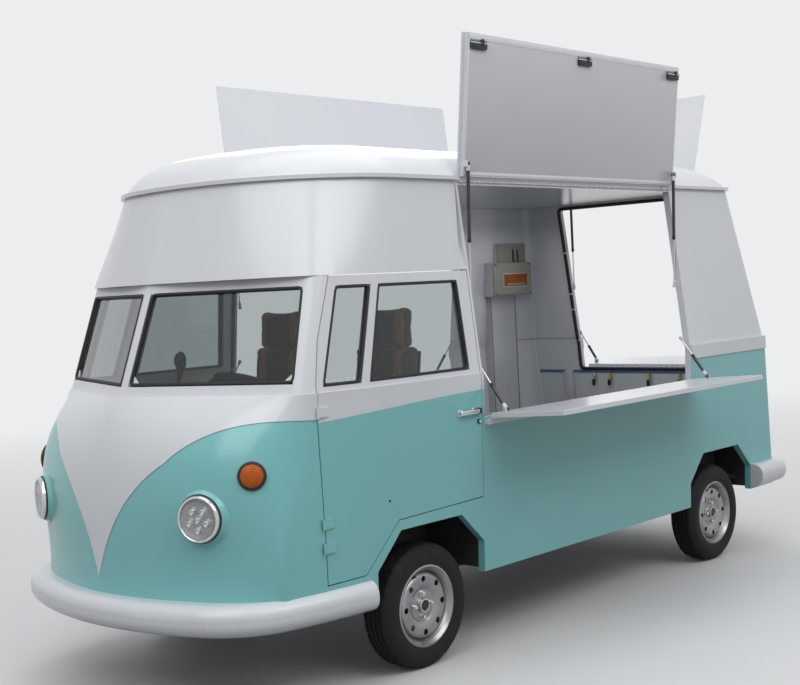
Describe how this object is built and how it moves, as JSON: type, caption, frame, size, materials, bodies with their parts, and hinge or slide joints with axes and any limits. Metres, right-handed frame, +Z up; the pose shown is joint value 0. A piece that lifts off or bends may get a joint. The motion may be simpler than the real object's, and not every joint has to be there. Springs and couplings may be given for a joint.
{
  "type": "ice cream truck",
  "caption": "Retro ice cream van with a rounded two-tone body, cab doors that open, lift-up serving hatches, fold-down counters and steered front wheels.",
  "frame": {"origin": "on the ground, on the centreline, midway along the overall length from the front bumper to the outer edge of the open rear counter", "axes": "+X forward, +Y to the vehicle's left, +Z up"},
  "size_m": [5.0438, 2.7852, 2.9669],
  "materials": {
    "pearl_white_paint": "gloss",
    "mint_green_paint": "gloss",
    "white_panel": "satin",
    "chassis_black": "satin",
    "floor_grey": "matte",
    "glass_clear": "gloss",
    "lamp_chrome": "gloss",
    "amber_lens": "gloss",
    "red_lens": "gloss",
    "dash_plastic": "matte",
    "seat_fabric": "matte",
    "tyre_rubber": "matte",
    "rim_silver": "satin",
    "strut_black": "gloss",
    "strut_steel": "satin",
    "battery_case": "matte"
  },
  "bodies": {
    "vehicle": {"chassis_frame": "chassis_black", "floor": "floor_grey", "wheel_houses": "chassis_black", "nose_panel": "mint_green_paint", "nose_v_panel": "pearl_white_paint", "windscreen_frame": "pearl_white_paint", "cab_upper_panel": "pearl_white_paint", "left_side_panel": "pearl_white_paint", "right_side_panel": "pearl_white_paint", "rear_panel": "pearl_white_paint", "trim_rails": "pearl_white_paint", "roof": "pearl_white_paint", "ceiling": "white_panel", "front_bumper": "pearl_white_paint", "rear_bumper": "pearl_white_paint", "windscreen_glass": "glass_clear", "headlights": "lamp_chrome", "turn_signals": "amber_lens", "tail_lamps": "red_lens", "dashboard": "dash_plastic", "driver_seat": "seat_fabric", "passenger_seat": "seat_fabric", "seat_boxes": "chassis_black", "electrical_box": "white_panel", "battery_box": "battery_case", "front_axle": "chassis_black", "rear_axle": "chassis_black"},
    "front_left_knuckle": {"front_left_knuckle": "chassis_black"},
    "front_right_knuckle": {"front_right_knuckle": "chassis_black"},
    "front_left_wheel": {"front_left_tyre": "tyre_rubber", "front_left_rim": "rim_silver"},
    "front_right_wheel": {"front_right_tyre": "tyre_rubber", "front_right_rim": "rim_silver"},
    "rear_left_wheel": {"rear_left_tyre": "tyre_rubber", "rear_left_rim": "rim_silver"},
    "rear_right_wheel": {"rear_right_tyre": "tyre_rubber", "rear_right_rim": "rim_silver"},
    "steering_wheel": {"steering_wheel": "dash_plastic"},
    "left_cab_door": {"left_door": "pearl_white_paint", "left_door_glass": "glass_clear"},
    "right_cab_door": {"right_door": "pearl_white_paint", "right_door_glass": "glass_clear"},
    "left_hatch": {"left_hatch": "white_panel"},
    "left_hatch_strut_tubes": {"left_hatch_strut_tubes": "strut_black"},
    "left_hatch_strut_rods": {"left_hatch_strut_rods": "strut_steel"},
    "left_counter": {"left_counter": "white_panel"},
    "left_counter_strut_tubes": {"left_counter_strut_tubes": "strut_black"},
    "left_counter_strut_rods": {"left_counter_strut_rods": "strut_steel"},
    "right_hatch": {"right_hatch": "white_panel"},
    "right_hatch_strut_tubes": {"right_hatch_strut_tubes": "strut_black"},
    "right_hatch_strut_rods": {"right_hatch_strut_rods": "strut_steel"},
    "right_counter": {"right_counter": "white_panel"},
    "right_counter_strut_tubes": {"right_counter_strut_tubes": "strut_black"},
    "right_counter_strut_rods": {"right_counter_strut_rods": "strut_steel"},
    "rear_hatch": {"rear_hatch": "white_panel"},
    "rear_hatch_strut_tubes": {"rear_hatch_strut_tubes": "strut_black"},
    "rear_hatch_strut_rods": {"rear_hatch_strut_rods": "strut_steel"},
    "rear_counter": {"rear_counter": "white_panel"},
    "rear_counter_strut_tubes": {"rear_counter_strut_tubes": "strut_black"},
    "rear_counter_strut_rods": {"rear_counter_strut_rods": "strut_steel"}
  },
  "joints": [
    {"name": "front_left_steering", "type": "hinge", "parent": "vehicle", "child": "front_left_knuckle", "pos_m": [1.242, 0.655, 0.291], "axis": [0, 0, 1], "range_deg": [-30, 30]},
    {"name": "front_right_steering", "type": "hinge", "parent": "vehicle", "child": "front_right_knuckle", "pos_m": [1.242, -0.655, 0.291], "axis": [0, 0, 1], "range_deg": [-30, 30]},
    {"name": "front_left_wheel_spin", "type": "hinge", "parent": "front_left_knuckle", "child": "front_left_wheel", "pos_m": [1.242, 0.781, 0.291], "axis": [0, 1, 0], "continuous": true},
    {"name": "front_right_wheel_spin", "type": "hinge", "parent": "front_right_knuckle", "child": "front_right_wheel", "pos_m": [1.242, -0.781, 0.291], "axis": [0, 1, 0], "continuous": true},
    {"name": "rear_left_wheel_spin", "type": "hinge", "parent": "vehicle", "child": "rear_left_wheel", "pos_m": [-1.43, 0.781, 0.291], "axis": [0, 1, 0], "continuous": true},
    {"name": "rear_right_wheel_spin", "type": "hinge", "parent": "vehicle", "child": "rear_right_wheel", "pos_m": [-1.43, -0.781, 0.291], "axis": [0, 1, 0], "continuous": true},
    {"name": "steering_wheel_turn", "type": "hinge", "parent": "vehicle", "child": "steering_wheel", "pos_m": [1.817, 0.4, 1.345], "axis": [-0.4238, 0, 0.9058], "range_deg": [-455, 455]},
    {"name": "left_door_swing", "type": "hinge", "parent": "vehicle", "child": "left_cab_door", "pos_m": [1.91, 0.895, 1], "axis": [0, 0, -1], "range_deg": [0, 65]},
    {"name": "right_door_swing", "type": "hinge", "parent": "vehicle", "child": "right_cab_door", "pos_m": [1.91, -0.895, 1], "axis": [0, 0, 1], "range_deg": [0, 65]},
    {"name": "left_hatch_swing", "type": "hinge", "parent": "vehicle", "child": "left_hatch", "pos_m": [0, 0.83566, 2.268], "axis": [-1, 0, 0], "range_deg": [0, 167.47]},
    {"name": "left_hatch_strut_turn", "type": "hinge", "parent": "left_hatch", "child": "left_hatch_strut_tubes", "pos_m": [0, 0.88063, 2.34862], "axis": [1, 0, 0], "range_deg": [0, 175.62]},
    {"name": "left_hatch_strut_slide", "type": "slide", "parent": "left_hatch_strut_tubes", "child": "left_hatch_strut_rods", "axis": [0, 0.0354, 0.9994], "range_m": [0, 0.16737]},
    {"name": "left_counter_swing", "type": "hinge", "parent": "vehicle", "child": "left_counter", "pos_m": [0, 0.96262, 1.128], "axis": [1, 0, 0], "range_deg": [0, 90.7]},
    {"name": "left_counter_strut_turn", "type": "hinge", "parent": "left_counter", "child": "left_counter_strut_tubes", "pos_m": [0, 1.04846, 1.16801], "axis": [-1, 0, 0], "range_deg": [0, 115.6]},
    {"name": "left_counter_strut_slide", "type": "slide", "parent": "left_counter_strut_tubes", "child": "left_counter_strut_rods", "axis": [0, 0.5929, -0.8053], "range_m": [0, 0.09546]},
    {"name": "right_hatch_swing", "type": "hinge", "parent": "vehicle", "child": "right_hatch", "pos_m": [0, -0.83566, 2.268], "axis": [1, 0, 0], "range_deg": [0, 167.47]},
    {"name": "right_hatch_strut_turn", "type": "hinge", "parent": "right_hatch", "child": "right_hatch_strut_tubes", "pos_m": [0, -0.88063, 2.34862], "axis": [-1, 0, 0], "range_deg": [0, 175.62]},
    {"name": "right_hatch_strut_slide", "type": "slide", "parent": "right_hatch_strut_tubes", "child": "right_hatch_strut_rods", "axis": [0, -0.0354, 0.9994], "range_m": [0, 0.16737]},
    {"name": "right_counter_swing", "type": "hinge", "parent": "vehicle", "child": "right_counter", "pos_m": [0, -0.96262, 1.128], "axis": [-1, 0, 0], "range_deg": [0, 90.7]},
    {"name": "right_counter_strut_turn", "type": "hinge", "parent": "right_counter", "child": "right_counter_strut_tubes", "pos_m": [0, -1.04846, 1.16801], "axis": [1, 0, 0], "range_deg": [0, 115.6]},
    {"name": "right_counter_strut_slide", "type": "slide", "parent": "right_counter_strut_tubes", "child": "right_counter_strut_rods", "axis": [0, -0.5929, -0.8053], "range_m": [0, 0.09546]},
    {"name": "rear_hatch_swing", "type": "hinge", "parent": "vehicle", "child": "rear_hatch", "pos_m": [-1.87031, 0, 2.268], "axis": [0, -1, 0], "range_deg": [0, 150.42]},
    {"name": "rear_hatch_strut_turn", "type": "hinge", "parent": "rear_hatch", "child": "rear_hatch_strut_tubes", "pos_m": [-1.9325, 0, 2.33622], "axis": [0, 1, 0], "range_deg": [0, 160.52]},
    {"name": "rear_hatch_strut_slide", "type": "slide", "parent": "rear_hatch_strut_tubes", "child": "rear_hatch_strut_rods", "axis": [-0.0019, 0, 1], "range_m": [0, 0.15167]},
    {"name": "rear_counter_swing", "type": "hinge", "parent": "vehicle", "child": "rear_counter", "pos_m": [-2.092, 0, 1.128], "axis": [0, 1, 0], "range_deg": [0, 96.7]},
    {"name": "rear_counter_strut_turn", "type": "hinge", "parent": "rear_counter", "child": "rear_counter_strut_tubes", "pos_m": [-2.17784, 0, 1.16801], "axis": [0, -1, 0], "range_deg": [0, 119.7]},
    {"name": "rear_counter_strut_slide", "type": "slide", "parent": "rear_counter_strut_tubes", "child": "rear_counter_strut_rods", "axis": [-0.6655, 0, -0.7464], "range_m": [0, 0.1058]}
  ],
  "couplings": [
    {"joint": "front_right_steering", "follows": "front_left_steering", "ratio": 1},
    {"joint": "steering_wheel_turn", "follows": "front_left_steering", "ratio": 15},
    {"joint": "left_hatch_strut_turn", "follows": "left_hatch_swing", "ratio": 1.0465},
    {"joint": "left_hatch_strut_slide", "follows": "left_hatch_swing", "m_per_rad": 0.057146},
    {"joint": "left_counter_strut_turn", "follows": "left_counter_swing", "ratio": 1.272},
    {"joint": "left_counter_strut_slide", "follows": "left_counter_swing", "m_per_rad": 0.060185},
    {"joint": "right_hatch_strut_turn", "follows": "right_hatch_swing", "ratio": 1.0465},
    {"joint": "right_hatch_strut_slide", "follows": "right_hatch_swing", "m_per_rad": 0.057146},
    {"joint": "right_counter_strut_turn", "follows": "right_counter_swing", "ratio": 1.272},
    {"joint": "right_counter_strut_slide", "follows": "right_counter_swing", "m_per_rad": 0.060185},
    {"joint": "rear_hatch_strut_turn", "follows": "rear_hatch_swing", "ratio": 1.065},
    {"joint": "rear_hatch_strut_slide", "follows": "rear_hatch_swing", "m_per_rad": 0.057654},
    {"joint": "rear_counter_strut_turn", "follows": "rear_counter_swing", "ratio": 1.2353},
    {"joint": "rear_counter_strut_slide", "follows": "rear_counter_swing", "m_per_rad": 0.062561}
  ]
}
